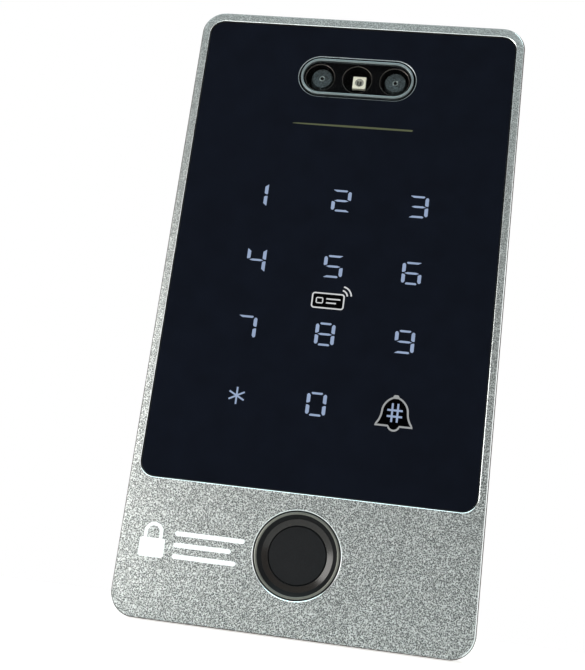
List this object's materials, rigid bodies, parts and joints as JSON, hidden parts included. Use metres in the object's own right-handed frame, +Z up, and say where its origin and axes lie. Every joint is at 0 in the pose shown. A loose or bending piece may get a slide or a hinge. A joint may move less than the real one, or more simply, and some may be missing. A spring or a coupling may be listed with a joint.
{
  "type": "fingerprint scanner terminal",
  "caption": "Flat wall-mounted access terminal: grey metal body, black touch glass with lit keypad and camera pod, round fingerprint reader, hooked steel bracket.",
  "frame": {"origin": "centre of the wall bracket's back face, in the plane of the wall", "axes": "+Z up along the terminal, +Y into the wall so that the front faces -Y, +X to the right seen from the front"},
  "size_m": [0.086, 0.022, 0.16],
  "materials": {
    "front_paint": "grey fine-textured paint",
    "back_shell": "black moulded, lightly textured",
    "black_glass": "back-printed gloss black",
    "clear_window": "clear",
    "pod_metal": "satin anodised",
    "black_plastic": "black moulded",
    "reader_bezel": "gloss black",
    "reader_pad": "fine matt black",
    "seal_rubber": "black silicone",
    "lens_barrel": "grey-blue satin",
    "lamp_ceramic": "white ceramic with a grey chip",
    "light_pipe": "milky olive when unlit",
    "circuit_board": "green solder mask",
    "antenna_board": "copper coil under lacquer",
    "zinc_steel": "zinc plated",
    "screw_steel": "bright",
    "brass": "turned",
    "relay_case": "blue case",
    "connector_plastic": "green",
    "flat_cable": "amber film",
    "plunger_plastic": "off-white",
    "label_film": "blank silver-white film"
  },
  "bodies": {
    "bracket": {"wall_bracket": "zinc_steel", "security_screw": "screw_steel"},
    "terminal": {"front_housing": "front_paint", "rear_cover": "back_shell", "touch_glass": "black_glass", "camera_window": "clear_window", "camera_ring": "pod_metal", "camera_holder": "black_plastic", "camera_led_board": "black_plastic", "camera_mount_left": "black_plastic", "camera_mount_right": "black_plastic", "light_mask": "black_plastic", "buzzer": "black_plastic", "tamper_switch": "black_plastic", "sensor_bezel": "reader_bezel", "fingerprint_pad": "reader_pad", "housing_gasket": "seal_rubber", "sensor_seal": "seal_rubber", "cable_grommet": "seal_rubber", "glass_adhesive": "seal_rubber", "camera_lens_left": "lens_barrel", "camera_lens_right": "lens_barrel", "camera_led": "lamp_ceramic", "led_bar_light_pipe": "light_pipe", "main_board": "circuit_board", "keypad_board": "circuit_board", "camera_board": "circuit_board", "sensor_board": "circuit_board", "card_antenna": "antenna_board", "sensor_clamp": "zinc_steel", "processor_shield": "zinc_steel", "cover_screw_1": "screw_steel", "cover_screw_2": "screw_steel", "cover_screw_3": "screw_steel", "cover_screw_4": "screw_steel", "board_screw_1": "screw_steel", "board_screw_2": "screw_steel", "board_screw_3": "screw_steel", "board_screw_4": "screw_steel", "sensor_screw_left": "screw_steel", "sensor_screw_right": "screw_steel", "supply_capacitor": "screw_steel", "clock_battery": "screw_steel", "lock_insert": "brass", "board_spacer_1": "brass", "board_spacer_2": "brass", "board_spacer_3": "brass", "board_spacer_4": "brass", "relay": "relay_case", "power_connector": "connector_plastic", "door_connector": "connector_plastic", "keypad_ribbon": "flat_cable", "camera_ribbon": "flat_cable", "sensor_ribbon": "flat_cable", "rating_label": "label_film"},
    "plunger": {"tamper_plunger": "plunger_plastic"}
  },
  "joints": [
    {"name": "terminal_lift", "type": "slide", "parent": "bracket", "child": "terminal", "axis": [0, 0, 1], "range_m": [0, 0.006]},
    {"name": "tamper_press", "type": "slide", "parent": "terminal", "child": "plunger", "axis": [0, -1, 0], "range_m": [0, 0.0015], "stiffness_N_per_m": 200}
  ]
}
